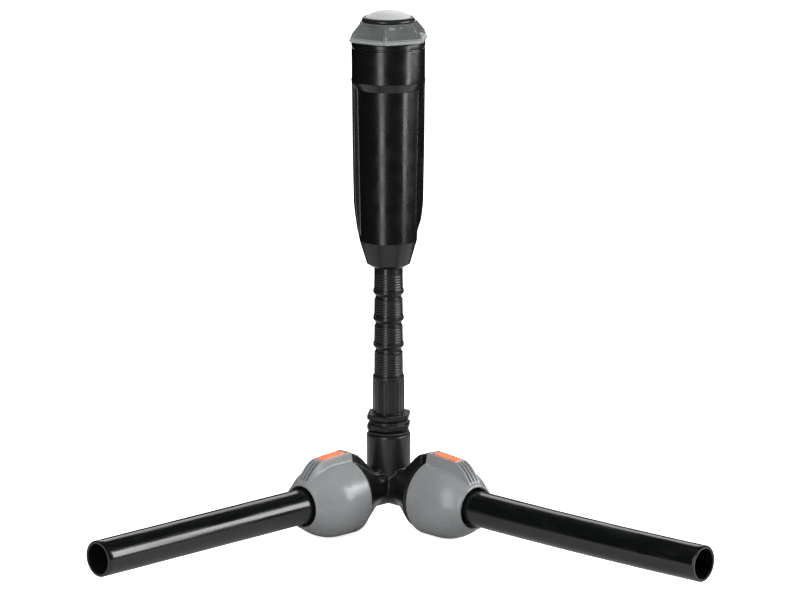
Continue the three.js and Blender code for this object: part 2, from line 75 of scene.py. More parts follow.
MM = 0.001
POLE_R = 0.01  # a profile that meets the axis stops this far from it
VIEW_TURN = -44.0  # degrees about Z from -Y to the side that the camera looks at
HEAD_TURN = -50.5  # the cap's front rib
RISER_TURN = -49.5  # the riser's front rib
SIDES = ("left", "right")
ARM_TURN = {"left": -90.0, "right": 0.0}  # from -Y to each pipe
PIPE_R, PIPE_WALL = 12.5, 2.3
BEND_START, BEND_RADIUS = 70.0, 2050.0  # the right pipe swings towards +X


def span_mm(node, axis=2):
    """A CAD node's lowest and highest value along an axis, in millimetres."""
    low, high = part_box(node)
    return low[axis] / MM, high[axis] / MM


# ---- mesh helpers ----


def turned_by(degrees, axis="Z"):
    return Matrix.Rotation(math.radians(degrees), 4, axis)


def arm_frame(side):
    """Takes +Z along a pipe and +Y up."""
    return turned_by(ARM_TURN[side]) @ turned_by(90, "X")


def rounded(corners, steps=5, closed=False):
    """A polyline of (radius, height, fillet) corners with each fillet as an arc."""
    points = []
    count = len(corners)
    for i, (r, z, fillet) in enumerate(corners):
        at = np.array((r, z), float)
        if fillet == 0 or (not closed and i in (0, count - 1)):
            points.append(at)
            continue
        before = np.array(corners[i - 1][:2], float) - at
        after = np.array(corners[(i + 1) % count][:2], float) - at
        reach = min(np.linalg.norm(before), np.linalg.norm(after)) * 0.49
        before, after = before / np.linalg.norm(before), after / np.linalg.norm(after)
        half = math.acos(float(np.clip(before @ after, -1, 1))) / 2
        if half > math.pi / 2 - 0.01:
            points.append(at)
            continue
        cut = min(fillet / math.tan(half), reach)
        start, end = at + before * cut, at + after * cut
        for t in np.linspace(0, 1, steps + 1):
            points.append((1 - t) ** 2 * start + 2 * t * (1 - t) * at + t**2 * end)
    return points


def dense(points, step):
    """The same polyline with no stretch longer than step."""
    result = [np.array(points[0], float)]
    for point in points[1:]:
        point = np.array(point, float)
        pieces = max(1, math.ceil(np.linalg.norm(point - result[-1]) / step))
        start = result[-1]
        result += [start + (point - start) * k / pieces for k in range(1, pieces + 1)]
    return result


def bezier(a, b, c, d, steps):
    a, b, c, d = (np.array(p, float) for p in (a, b, c, d))
    t = np.linspace(0, 1, steps + 1)[:, None]
    return list((1 - t) ** 3 * a + 3 * t * (1 - t) ** 2 * b + 3 * t**2 * (1 - t) * c + t**3 * d)


def half_turn(degrees):
    """The same angle, from -180 up to 180 degrees."""
    return (degrees + 180) % 360 - 180


def angles(count, zones=()):
    """Angles round a piece in degrees from its front, finer inside each (centre, half width, step) zone."""
    values = list(np.arange(count) * 360.0 / count - 180.0)
    for centre, half, step in zones:
        values = [a for a in values if abs(half_turn(a - centre)) > half + step / 2]
        values += [half_turn(centre + k) for k in np.arange(-half, half + step / 2, step)]
    return np.array(sorted(values))


def smooth_max(a, b, k):
    return 0.5 * (a + b + np.sqrt((a - b) ** 2 + k * k))


def smooth_min(a, b, k):
    return 0.5 * (a + b - np.sqrt((a - b) ** 2 + k * k))


def ramp(x, low, high):
    t = np.clip((x - low) / (high - low), 0, 1)
    return t * t * (3 - 2 * t)


def lathe_rows(profile, turn, shape=None):
    """Rows of points round +Z from a profile of (radius, height), with angle 0 at -Y.
    shape(radii, height, angles in radians) reshapes a row."""
    a = np.radians(turn)
    rows = []
    for r, z in profile:
        radius = np.full(len(a), float(r))
        if shape is not None:
            radius = shape(radius, float(z), a)
        rows.append(np.stack([radius * np.sin(a), -radius * np.cos(a), np.full(len(a), float(z))], 1))
    return rows


def skin_faces(row_count, count, looped=False, first=0):
    """Faces over rows of count points. The ends are closed by a face each, or joined when looped."""
    pairs = [(i, i + 1) for i in range(row_count - 1)]
    if looped:
        pairs.append((row_count - 1, 0))
    faces = []
    for i, j in pairs:
        for k in range(count):
            m = (k + 1) % count
            faces.append((i * count + k, i * count + m, j * count + m, j * count + k))
    if not looped:
        faces.append(tuple(reversed(range(count))))
        faces.append(tuple(range((row_count - 1) * count, row_count * count)))
    return [tuple(first + corner for corner in face) for face in faces]


def grid_piece(name, rows, finish, body, replaces=(), place=None, looped=False, sharp=40):
    """A piece whose closed skin goes over rows of points."""
    faces = skin_faces(len(rows), len(rows[0]), looped)
    return finish_mesh(name, np.concatenate(rows), faces, finish, body, replaces, place, sharp)


def add_object(name, data):
    made = bpy.data.objects.new(name, data)
    bpy.context.scene.collection.objects.link(made)
    return made


def finish_mesh(name, points, faces, finish, body, replaces=(), place=None, sharp=40):
    mesh = bpy.data.meshes.new(name)
    mesh.from_pydata((np.array(points) * MM).tolist(), [], faces)
    own = mesh.attributes.new("own_place", "FLOAT_VECTOR", "POINT")
    own.data.foreach_set("vector", (np.array(points) * MM).astype(np.float32).ravel())
    if place is not None:
        mesh.transform(place)
    mesh.validate()
    mesh.update()
    piece = add_object(name, mesh)
    return settle(piece, finish, body, replaces, sharp)


def settle(piece, finish, body, replaces=(), sharp=40):
    """Faces outwards, smooth but for its real edges, in its material and on its body."""
    mesh = piece.data
    weld_and_orient(mesh)
    mesh.polygons.foreach_set("use_smooth", [True] * len(mesh.polygons))
    mesh.set_sharp_from_angle(angle=math.radians(sharp))
    mesh.materials.clear()
    mesh.materials.append(finish)
    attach(piece, body)
    if replaces:
        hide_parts(*replaces)
    return piece


def weld_and_orient(mesh):
    bm = bmesh.new()
    bm.from_mesh(mesh)
    bmesh.ops.remove_doubles(bm, verts=bm.verts, dist=2e-7)
    bmesh.ops.dissolve_degenerate(bm, edges=bm.edges, dist=1e-7)
    bmesh.ops.recalc_face_normals(bm, faces=bm.faces)
    bm.to_mesh(mesh)
    bm.free()


def with_modifier(piece, kind, **settings):
    """Applies one modifier to a piece's mesh."""
    modifier = piece.modifiers.new(kind.lower(), kind)
    for key, value in settings.items():
        setattr(modifier, key, value)
    graph = bpy.context.evaluated_depsgraph_get()
    mesh = bpy.data.meshes.new_from_object(piece.evaluated_get(graph))
    piece.modifiers.clear()
    old = piece.data
    piece.data = mesh
    bpy.data.meshes.remove(old)


# ---- materials ----


class Nodes:
    """A material's node tree, with short calls to add and join nodes."""

    def __init__(self, name):
        self.material = bpy.data.materials.new(name)
        self.material.use_nodes = True
        self.tree = self.material.node_tree
        self.shader = self.tree.nodes["Principled BSDF"]

    def node(self, kind, inputs=(), **settings):
        made = self.tree.nodes.new("ShaderNode" + kind)
        for key, value in settings.items():
            setattr(made, key, value)
        for key, value in dict(inputs).items():
            if isinstance(value, bpy.types.NodeSocket):
                self.tree.links.new(value, made.inputs[key])
            else:
                made.inputs[key].default_value = value
        return made

    def calculate(self, operation, *values):
        return self.node("Math", dict(enumerate(values)), operation=operation).outputs[0]

    def own_place(self):
        """Where a point lay before its piece was turned into place."""
        return self.node("Attribute", attribute_name="own_place").outputs["Vector"]

    def noise(self, scale, detail=3.0, place=None, stretch=None):
        place = place or self.node("TexCoord").outputs["Object"]
        if stretch:
            place = self.node("Mapping", {"Vector": place, "Scale": stretch}).outputs["Vector"]
        noise = self.node("TexNoise", {"Vector": place, "Scale": scale, "Detail": detail})
        return noise.outputs["Fac"]

    def between(self, value, from_low, from_high, low, high):
        inputs = {"Value": value, "From Min": from_low, "From Max": from_high, "To Min": low, "To Max": high}
        return self.node("MapRange", inputs).outputs["Result"]

    def blend(self, amount, first, second):
        mix = self.node("Mix", data_type="RGBA")
        for socket, value in ((mix.inputs[0], amount), (mix.inputs[6], first), (mix.inputs[7], second)):
            if isinstance(value, bpy.types.NodeSocket):
                self.tree.links.new(value, socket)
            else:
                socket.default_value = value
        return mix.outputs[2]

    def bump(self, height, strength, distance, normal=None):
        inputs = {"Height": height, "Strength": strength, "Distance": distance}
        if normal is not None:
            inputs["Normal"] = normal
        return self.node("Bump", inputs).outputs["Normal"]

    def to_shader(self, **sockets):
        for key, value in sockets.items():
            socket = self.shader.inputs[key.replace("_", " ")]
            if isinstance(value, bpy.types.NodeSocket):
                self.tree.links.new(value, socket)
            else:
                socket.default_value = value
        return self.material


def shade(colour, factor):
    return tuple(min(1.0, c * factor) for c in colour) + (1.0,)


def moulded(name, colour, rough, grain=0.25, edge_wear_and_highlight=1.6, scuffs=0.5, subsurface=0.0, drift=0.12, highlight_band=None):
    """Moulded plastic: spark-eroded grain, slow colour drift, faint scuffs and paler convex edges, partly
    rubbed wear and partly a painted highlight.
    A painted highlight band is a paler band round the piece at one height: its middle height and half width
    in millimetres, and how much paler it is."""
    n = Nodes(name)
    slow = n.between(n.noise(35.0, 4.0), 0.3, 0.7, 0.0, 1.0)
    colour_out = n.blend(slow, shade(colour, 1 - drift), shade(colour, 1 + drift))
    # Painted highlight: the band at this height is painted paler.
    if highlight_band:
        height = n.node("SeparateXYZ", {0: n.own_place()}).outputs["Z"]
        middle, reach, paler = highlight_band
        on_highlight_band = n.calculate("COMPARE", height, middle * MM, reach * MM)
        colour_out = n.blend(on_highlight_band, colour_out, shade(colour, paler))
    # Convex edges are painted paler: partly rubbed wear, partly a painted highlight where the edges catch
    # light.
    edge = n.node("NewGeometry").outputs["Pointiness"]
    speckle = n.noise(700.0, 4.0)
    on_edge = n.between(edge, 0.53, 0.62, 0.0, 1.0)
    rubbed_and_lit_edge = n.calculate("MULTIPLY", on_edge, n.between(speckle, 0.4, 0.6, 0.15, 0.8))
    colour_out = n.blend(rubbed_and_lit_edge, colour_out, shade(colour, edge_wear_and_highlight))
    marks = n.noise(260.0, 5.0, stretch=(1.0, 1.0, 0.12))
    scuff = n.between(marks, 0.6, 0.72, 0.0, scuffs)
    rough_noise = n.between(n.noise(90.0, 5.0), 0.3, 0.7, rough - 0.05, rough + 0.06)
    rough_out = n.calculate("ADD", rough_noise, n.calculate("MULTIPLY", scuff, 0.12))
    fine = n.bump(n.noise(5200.0, 2.0), grain, 0.00004)
    waves = n.bump(n.noise(140.0, 2.0), 0.05, 0.0002, fine)
    normal = n.bump(scuff, 0.15, 0.00003, waves)
    if subsurface:
        n.to_shader(Subsurface_Weight=subsurface, Subsurface_Radius=(0.002, 0.0018, 0.0014))
    return n.to_shader(Base_Color=colour_out, Roughness=rough_out, Normal=normal)


def extruded_pipe(name, colour, rough):
    """Polyethylene pipe: lines drawn along it by the die, shallow rubs and a little dust."""
    n = Nodes(name)
    own = n.own_place()
    lines = n.noise(900.0, 4.0, own, (1.0, 1.0, 0.01))
    broad = n.noise(160.0, 3.0, own, (1.0, 1.0, 0.03))
    dust = n.noise(120.0, 6.0, own, (1.0, 1.0, 0.35))
    rubs = n.noise(420.0, 5.0, own, (1.0, 1.0, 0.05))
    colour_out = n.blend(n.between(broad, 0.3, 0.7, 0.0, 1.0), shade(colour, 0.85), shade(colour, 1.2))
    colour_out = n.blend(n.between(dust, 0.52, 0.8, 0.0, 0.1), colour_out, (0.05, 0.05, 0.045, 1.0))
    rough_out = n.between(rubs, 0.35, 0.7, rough - 0.04, rough + 0.12)
    normal = n.bump(lines, 0.22, 0.00008)
    normal = n.bump(broad, 0.2, 0.0003, normal)
    return n.to_shader(Base_Color=colour_out, Roughness=rough_out, Normal=normal)


def rubber(name):
    """Black rubber with a matt, faintly pitted skin."""
    n = Nodes(name)
    colour = n.blend(n.noise(300.0, 4.0), (0.008, 0.008, 0.008, 1), (0.02, 0.02, 0.019, 1))
    normal = n.bump(n.noise(2600.0, 3.0), 0.3, 0.00006)
    rough = n.between(n.noise(200.0), 0.3, 0.7, 0.55, 0.75)
    return n.to_shader(Base_Color=colour, Roughness=rough, Normal=normal)


def steel(name):
    """Drawn stainless steel with fine marks along it."""
    n = Nodes(name)
    colour = n.blend(n.noise(500.0, 4.0), (0.42, 0.43, 0.44, 1), (0.62, 0.63, 0.64, 1))
    normal = n.bump(n.noise(3000.0, 3.0, stretch=(1.0, 1.0, 0.1)), 0.2, 0.00003)
    rough = n.between(n.noise(900.0, 3.0), 0.3, 0.7, 0.2, 0.36)
    return n.to_shader(Base_Color=colour, Metallic=1.0, Roughness=rough, Normal=normal)


# A painted highlight on the cap's rim bead: middle height, half width and how much paler, in millimetres and
# as a factor.
CAP_BEAD_HIGHLIGHT = (322.3, 1.5, 2.6)

CASE_BLACK = moulded("case_black", (0.0032, 0.0038, 0.0034), 0.27, grain=0.16, edge_wear_and_highlight=2.5)
TEE_BLACK = moulded("tee_black", (0.007, 0.0078, 0.0073), 0.33, grain=0.3)
RISER_BLACK = moulded("riser_black", (0.0055, 0.0062, 0.006), 0.3, grain=0.25)
STEM_BLACK = moulded("stem_black", (0.012, 0.0125, 0.0125), 0.3, grain=0.2)
CAP_GREY = moulded("cap_grey", (0.085, 0.092, 0.09), 0.3, grain=0.3, edge_wear_and_highlight=3.6, scuffs=0.2, highlight_band=CAP_BEAD_HIGHLIGHT)
NUT_GREY = moulded("nut_grey", (0.185, 0.192, 0.196), 0.27, grain=0.2, edge_wear_and_highlight=1.6, scuffs=0.1, drift=0.03)
COVER_GREY = moulded("cover_grey", (0.39, 0.405, 0.4), 0.45, grain=0.7, edge_wear_and_highlight=1.1)
NOZZLE_GREY = moulded("nozzle_grey", (0.16, 0.165, 0.17), 0.38, edge_wear_and_highlight=1.2)
ORANGE = moulded("marker_orange", (0.66, 0.125, 0.02), 0.33, grain=0.25, edge_wear_and_highlight=1.2, subsurface=0.15)
ACETAL = moulded("acetal", (0.66, 0.65, 0.59), 0.36, grain=0.2, edge_wear_and_highlight=1.05, subsurface=0.2)
PIPE_BLACK = extruded_pipe("pipe_black", (0.0034, 0.0042, 0.004), 0.15)
RUBBER = rubber("black_rubber")
STEEL = steel("spring_steel")


# ---- sprinkler case ----

FIN_HALF = 7.0
FIN_TOP = 291.0
FIN_HEIGHTS = (164.0, 170.0, 175.0, 181.0, 187.0, 192.5, 199.0, 206.0, 244.0, FIN_TOP)
FIN_EDGES = {  # how far the fins on the viewer's right (1) and left (-1) reach at those heights
    1: (12.0, 14.0, 16.0, 18.5, 20.9, 22.9, 23.9, 24.55, 25.2, 25.6),
    -1: (14.5, 17.0, 19.0, 20.7, 22.2, 23.0, 23.9, 24.55, 25.2, 25.6),
}


def case_body():
    """A tapered case with a fin down each side, which ends at the shoulder of its wider top."""
    low, high = span_mm("body_case")
    outer = rounded(
        [
            (11.0, low, 0),
            (15.4, low + 2.7, 0.5),
            (20.2, low + 19.4, 1.2),
            (22.1, 286.6, 0.8),
            (25.6, 292.5, 1.4),
            (25.7, 315.6, 0.3),
            (25.25, 315.9, 0.2),
            (25.25, 316.7, 0.2),
            (25.85, 317.1, 0.3),
            (25.85, high, 0.4),
            (23.4, high, 0),
        ],
        steps=6,
    )
    inner = rounded(
        [(23.4, high, 0), (23.4, 292.0, 0.3), (19.7, 291.2, 0.3), (18.3, 182.4, 1.0), (9.0, 180.0, 0.3),
         (9.0, 177.0, 0.2), (10.8, 177.0, 0), (10.8, low, 0)],
        steps=3,
    )

    def shape(r, z, a):
        result = r
        if low + 4 < z < 293.5:
            for side, edge in FIN_EDGES.items():
                off = a - side * math.pi / 2
                facing = np.cos(off) > 0.5
                wall = FIN_HALF / (np.abs(np.sin(off)) + 1e-6)
                fin = smooth_min(np.full(len(a), np.interp(z, FIN_HEIGHTS, edge)), wall, 0.35)
                result = np.where(facing, smooth_max(result, fin, 0.9) - 0.1, result)
        return result

    zones = [(side * 90 + s * 17.5, 6.0, 0.4) for side in (1, -1) for s in (1, -1)]
    turn = angles(180, zones)
    rows = lathe_rows(dense(outer, 1.6), turn, shape) + lathe_rows(dense(inner, 40.0)[1:-1], turn)
    place = turned_by(VIEW_TURN)
    grid_piece("case_body", rows, CASE_BLACK, "base", ["body_case"], place, True)


# ---- retaining cap ----

CAP_RIBS = 6
RIM_FLAT, RIM_CORNER = 26.2, 29.1
RIM_LOW, RIM_TOP = 320.5, 323.4
# (height, radius) up the cap's slope, along a rib's crest and up the middle of a panel
CREST = ((323.4, 27.6), (324.2, 27.2), (326.6, 26.3), (329.6, 23.8), (332.5, 21.1), (333.9, 19.7))
PANEL = ((323.4, 25.6), (324.1, 24.3), (327.0, 22.5), (330.0, 20.7), (332.5, 19.7), (333.9, 19.3))


def cap_shell():
    """A beaded hexagonal rim under six scooped panels that meet at ribs."""
    high = span_mm("retaining_cap")[1]
    outer = rounded(
        [
            (23.0, RIM_LOW, 0),
            (28.4, RIM_LOW, 0.4),
            (RIM_CORNER, RIM_LOW + 0.9, 0.5),
            (RIM_CORNER, RIM_LOW + 2.0, 0.8),
            (27.6, RIM_TOP, 0.6),
            (26.4, 323.8, 0.3),
            (23.8, 329.6, 3.0),
            (20.0, high - 0.3, 0.4),
            (19.0, high, 0.3),
            (16.6, high, 0.2),
            (16.6, 332.3, 0.2),
            (18.8, 332.3, 0),
        ],
        steps=5,
    )
    inner = [(18.8, 321.6), (16.0, 321.6), (16.0, 317.0), (23.0, 317.0)]
    sector = 2 * math.pi / CAP_RIBS
    crest_z, crest_r = np.transpose(CREST)
    panel_z, panel_r = np.transpose(PANEL)

    def shape(r, z, a):
        if r[0] < 18.9 or (z < RIM_LOW + 0.3 and r[0] < 25):
            return r
        from_rib = (a + sector / 2) % sector - sector / 2
        from_flat = a % sector - sector / 2
        across = r * from_rib
        if z <= RIM_TOP:
            notch = 0.9 * np.exp(-((across / 0.9) ** 4)) * ramp(-z, -(RIM_LOW + 2.2), -(RIM_LOW + 1.2))
            return smooth_min(r, RIM_FLAT / np.cos(from_flat) + (r - RIM_CORNER), 0.5) - notch
        crest = float(np.interp(z, crest_z, crest_r))
        scoop = 2.0 * np.cos(from_flat * 3) ** 2 * ramp(z, 323.8, 326.0) * ramp(-z, -333.4, -331.0)
        panel = float(np.interp(z, panel_z, panel_r)) / np.cos(from_flat) - scoop
        spread = 0.9 + 1.0 * ramp(-z, -330.0, -324.0)
        rib = crest + 1.0 - 2.2 * np.clip((np.abs(across) - 0.5) / spread, 0, 4) ** 1.5
        return smooth_max(smooth_min(panel, crest, 0.4), rib, 0.2)

    zones = [(k * 360 / CAP_RIBS, 8.0, 0.5) for k in range(-2, 4)]
    turn = angles(120, zones)
    rows = lathe_rows(dense(outer, 0.45), turn, shape) + lathe_rows(inner, turn)
    place = turned_by(HEAD_TURN)
    grid_piece("cap_shell", rows, CAP_GREY, "base", ["retaining_cap"], place, True)


def wiper():
    low, high = span_mm("wiper_seal")
    corners = [(18.5, low, 0.2), (18.5, high, 0.3), (16.8, high, 0.4), (16.2, high - 2.6, 0.5)]
    corners += [(15.5, high - 5.4, 0.15), (15.6, high - 6.6, 0.15), (16.3, low, 0.2)]
    rows = lathe_rows(rounded(corners, closed=True), angles(96))
    grid_piece("wiper_lip", rows, RUBBER, "base", ["wiper_seal"], looped=True)


# ---- pop-up head ----

STEM_R, STEM_BORE = 15.3, 13.4


def stem_tube():
    low, high = span_mm("popup_stem")
    corners = [(STEM_BORE, low, 0.3), (17.8, low, 0.5), (17.8, low + 3.6, 0.5), (STEM_R, low + 3.65, 0.1)]
    corners += [(STEM_R, high - 3.2, 0.2), (15.0, high - 2.9, 0.2), (15.0, high - 2.2, 0.2)]
    corners += [(STEM_R, high - 1.9, 0.2), (STEM_R, high, 0.5), (STEM_BORE, high, 0.4)]
    corners += [(STEM_BORE, high - 4.9, 0.2), (4.4, high - 4.9, 0.2), (4.4, high - 7.9, 0.2)]
    corners.append((STEM_BORE, high - 7.9, 0.2))
    profile = rounded(corners, closed=True)

    def shape(r, z, a):
        """Two shallow guide grooves down the outside, which keep the stem from turning."""
        if r[0] < 15.1 or z < low + 5 or z > high - 8:
            return r
        groove = np.exp(-((np.sin(a) * STEM_R / 0.9) ** 2))
        return r - 0.35 * groove * ramp(z, low + 5, low + 7) * ramp(-z, -(high - 8), -(high - 10))

    turn = angles(96, [(0, 10, 1.0), (180, 10, 1.0)])
    rows = lathe_rows(dense(profile, 8.0), turn, shape)
    place = turned_by(HEAD_TURN)
    grid_piece("stem_tube", rows, STEM_BLACK, "stem", ["popup_stem"], place, True)


ARC_RING_LOW = 304.8


def arc_adjuster():
    low, high = ARC_RING_LOW, span_mm("arc_ring")[1]
    corners = [(10.0, low, 0.3), (STEM_R, low, 0.4), (STEM_R, high, 0.4), (10.0, high, 0.3)]
    profile = rounded(corners, closed=True)

    def shape(r, z, a):
        grip = 0.22 * np.cos(a * 36) * ramp(z, low + 0.5, low + 1) * ramp(-z, -(high - 0.5), -(high - 1))
        return r - 0.22 + grip if r[0] > 15 else r

    rows = lathe_rows(dense(profile, 0.7), angles(288), shape)
    grid_piece("arc_adjuster", rows, STEM_BLACK, "arc_ring", ["arc_ring"], None, True)


JET_HEIGHT = 319.0
JET_TILT = 25.0
HEAD_BACK = HEAD_TURN + 180.0  # the nozzle faces away from the pipes


def jet_frame():
    """Takes +Z along the jet, from the middle of the turret."""
    return turned_by(HEAD_BACK) @ Matrix.Translation((0, 0, JET_HEIGHT * MM)) @ turned_by(90 - JET_TILT, "X")


CUTTER_FACETS = 48


def cutter(profile, place):
    """A turned solid that cuts another piece and is then thrown away."""
    points = np.concatenate(lathe_rows(profile, angles(CUTTER_FACETS)))
    mesh = bpy.data.meshes.new("cutter")
    mesh.from_pydata((points * MM).tolist(), [], skin_faces(len(profile), CUTTER_FACETS))
    mesh.transform(place)
    weld_and_orient(mesh)
    return add_object("cutter", mesh)


def cut(piece, tool):
    bpy.context.view_layer.update()
    with_modifier(piece, "BOOLEAN", object=tool, operation="DIFFERENCE", solver="EXACT")
    bpy.data.objects.remove(tool)


def turret():
    low = span_mm("nozzle_turret")[0]
    corners = [(POLE_R, low, 0), (STEM_R, low, 0.4), (STEM_R, 334.0, 0.3), (18.1, 334.25, 0.3)]
    corners += [(18.5, 334.7, 0.3), (18.4, 335.5, 0.7), (17.3, 336.9, 0.6), (16.2, 337.1, 0.2)]
    corners += [(16.1, 335.6, 0.2), (POLE_R, 335.6, 0)]
    rows = lathe_rows(dense(rounded(corners, steps=6), 6.0), angles(112))
    piece = grid_piece("nozzle_head", rows, STEM_BLACK, "turret", ["nozzle_turret"])
    cut(piece, cutter([(4.0, 8.0), (4.0, 14.4), (5.2, 16.2), (5.2, 22)], jet_frame()))
    settle(piece, STEM_BLACK, "turret")


def nozzle():
    corners = [(1.4, 8.2, 0.2), (3.85, 8.2, 0.2), (3.85, 12.6, 0.4), (2.6, 12.9, 0.2), (1.9, 11.6, 0.2)]
    corners.append((1.4, 11.2, 0.1))
    rows = lathe_rows(rounded(corners, closed=True), angles(40))
    place = jet_frame()
    grid_piece("jet_nozzle", rows, NOZZLE_GREY, "turret", ["nozzle_insert"], place, True)


SCREW_REACH = 12.6


def screw_frame():
    """Takes +Z along the screw, which stands over the nozzle."""
    return turned_by(HEAD_BACK) @ Matrix.Translation((0, -SCREW_REACH * MM, 0))


def cover():
    low, high = span_mm("turret_cover")
    corners = [(15.4, low, 0), (15.85, low + 0.4, 0.2), (15.85, low + 1.3, 0.5), (14.8, low + 1.9, 0.8)]
    dome = bezier((14.8, low + 1.9), (10.5, high - 0.5), (5.5, high), (POLE_R, high), 14)
    profile = [(POLE_R, low)] + rounded(corners, steps=4) + dome[1:]
    rows = lathe_rows(profile, angles(112))
    piece = grid_piece("cover_disc", rows, COVER_GREY, "turret", ["turret_cover"])
    cut(piece, cutter([(1.6, low - 3), (1.6, low + 2.4), (2.1, low + 3.2), (2.1, high + 3)], screw_frame()))
    settle(piece, COVER_GREY, "turret")


def radius_screw():
    low, high = span_mm("radius_screw")
    profile = rounded([(POLE_R, low, 0), (1.2, low, 0.2), (1.2, high, 0.25), (POLE_R, high, 0)])
    rows, place = lathe_rows(profile, angles(32)), screw_frame()
    piece = grid_piece(
        "adjusting_screw", rows, STEEL, "radius_screw", ["radius_screw"], place
    )
    slot = cutter([(0.35, -3), (0.35, 3)], place @ Matrix.Translation((0, 0, high * MM)) @ turned_by(90, "Y"))
    cut(piece, slot)
    settle(piece, STEEL, "radius_screw")


SPRING_TURNS, CLOSED_TURNS = 12, 1.2
COIL_R, WIRE_R = 16.55, 0.65
STEPS_PER_TURN, WIRE_SIDES = 40, 10


def spring():
    """Fine round wire with closed ends."""
    low, high = span_mm("retraction_spring")
    t = np.linspace(0, 1, SPRING_TURNS * STEPS_PER_TURN + 1)
    turns = SPRING_TURNS * t * 2 * math.pi
    flat = CLOSED_TURNS / SPRING_TURNS
    rise = np.interp(t, [0, flat, 1 - flat, 1], [0, 0.016, 0.984, 1])
    z = low + WIRE_R + rise * (high - low - 2 * WIRE_R)
    up = np.array([0, 0, 1])
    around = np.radians(np.arange(WIRE_SIDES) * 360 / WIRE_SIDES)[:, None]
    rows = []
    for angle, height in zip(turns, z):
        out = np.array([math.cos(angle), math.sin(angle), 0])
        centre = out * COIL_R + up * height
        rows.append(centre + WIRE_R * (np.cos(around) * out + np.sin(around) * up))
    piece = grid_piece("spring_coil", rows, STEEL, "base", ["retraction_spring"])
    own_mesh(piece)


# ---- riser ----

THREAD_PITCH = 1.814  # G 1/2
THREAD_DEPTH = 0.2
SEGMENT = 19.25
BASE_TOP = 81.0
BASE_RIBS = 8
HEX_LOW, HEX_HIGH = (40.5, 45.9), (47.7, 53.1)
HEX_FLAT, HEX_CORNER = 14.7, 16.8


def riser():
    """Two wrench rings, a ribbed base and four threaded lengths with a sawing neck above each."""
    low, high = span_mm("extension_riser")
    corners = [(7.5, low, 0), (10.3, low, 0), (10.3, 40.3, 0)]
    for bottom, top in (HEX_LOW, HEX_HIGH):
        corners += [(13.2, bottom, 0.3), (HEX_CORNER, bottom + 2.0, 0.6), (HEX_CORNER, top - 0.6, 0.3)]
        corners += [(HEX_CORNER - 0.6, top, 0.2), (13.6, top, 0.3), (13.6, top + 1.6, 0.2)]
    corners = corners[:-2] + [(10.4, 53.2, 0.6), (10.4, 77.4, 0.5), (11.2, 78.2, 0.3), (11.2, 80.3, 0.3)]
    corners += [(10.4, BASE_TOP, 0.2), (10.2, 97.5, 0.25), (9.35, 98.0, 0.7), (9.35, 100.3, 0.5)]
    for k in range(1, 4):
        z = BASE_TOP + k * SEGMENT
        corners += [(10.95, z + 2.0, 0.35), (10.95, z + 4.2, 0.3), (10.4, z + 4.5, 0.2)]
        if k < 3:
            corners += [(10.15, z + 16.5, 0.25), (9.35, z + 17.0, 0.7), (9.35, z + 19.3, 0.5)]
    corners += [(10.15, 157.0, 0), (10.15, high, 0), (7.5, high, 0)]
    profile = dense(rounded(corners, steps=4), 0.3)
    feet = [BASE_TOP + k * SEGMENT for k in range(4)]
    threads = [(foot + (4.6 if foot > BASE_TOP else 0.6), foot + 16.4) for foot in feet]
    rib_step = 2 * math.pi / BASE_RIBS

    def shape(r, z, a):
        if HEX_LOW[0] - 0.2 <= z <= HEX_HIGH[1] + 0.2 and r[0] > 13.7:
            flat = (HEX_FLAT - 0.5 * (HEX_CORNER - r)) / np.cos(a % (math.pi / 3) - math.pi / 6)
            return smooth_min(r, flat, 0.15)
        if 53.4 < z < 79 and r[0] > 9:
            across = ((a + rib_step / 2) % rib_step - rib_step / 2) * 11
            rib = np.exp(-((across / 0.8) ** 4))
            return smooth_max(r, 10.4 + 0.9 * rib * ramp(z, 53.4, 54.0) * ramp(-z, -79, -77.6), 0.1)
        for start, end in threads:
            if start < z < end and r[0] > 9:
                wave = 0.5 + 0.5 * np.cos(2 * math.pi * z / THREAD_PITCH - a)
                return r - THREAD_DEPTH * (1 - wave) * ramp(z, start, start + 1) * ramp(-z, -end, -end + 1)
        return r

    turn = angles(120, [(k * 60.0, 4.0, 0.8) for k in range(-2, 4)])
    rows = lathe_rows(profile, turn, shape)
    place = turned_by(RISER_TURN)
    grid_piece("riser_body", rows, RISER_BLACK, "base", ["extension_riser"], place, True, 50)


def gasket():
    low, high = span_mm("riser_gasket")
    corners = [(10.8, low, 0.2), (14.7, low, 0.5), (14.7, high, 0.5), (10.8, high, 0.2)]
    rows = lathe_rows(rounded(corners, closed=True), angles(72))
    grid_piece("flange_gasket", rows, RUBBER, "base", ["riser_gasket"], looped=True)


# ---- corner tee ----

NECK_R, SOCKET_R = 13.2, 15.7
FLARE_START, BELL_R, BELL_END = 20.5, 24.7, 40.6
BARREL_R, BARREL_END = 24.0, 59.6
LUG_HALF = 6.6
TEE_CORE = -2.0  # the arms and the socket start this far past their crossing
TEE_FACETS = 96


def lug_points(place):
    """The lug from the socket up to the nut's pad, as a ring of points for each of its two flanks."""
    end = BELL_END - 0.2
    side = [(6, 4), (22, 8), (end, 18), (end, 31.2), (36.5, 29.6), (31.5, 25.5), (26, 19.8)]
    side += [(19, 14.0), (6, 12.6)]
    flanks = [np.array([(x, h, s) for s, h in side]) for x in (-LUG_HALF, LUG_HALF)]
    return np.concatenate(flanks) @ place.T, len(side)


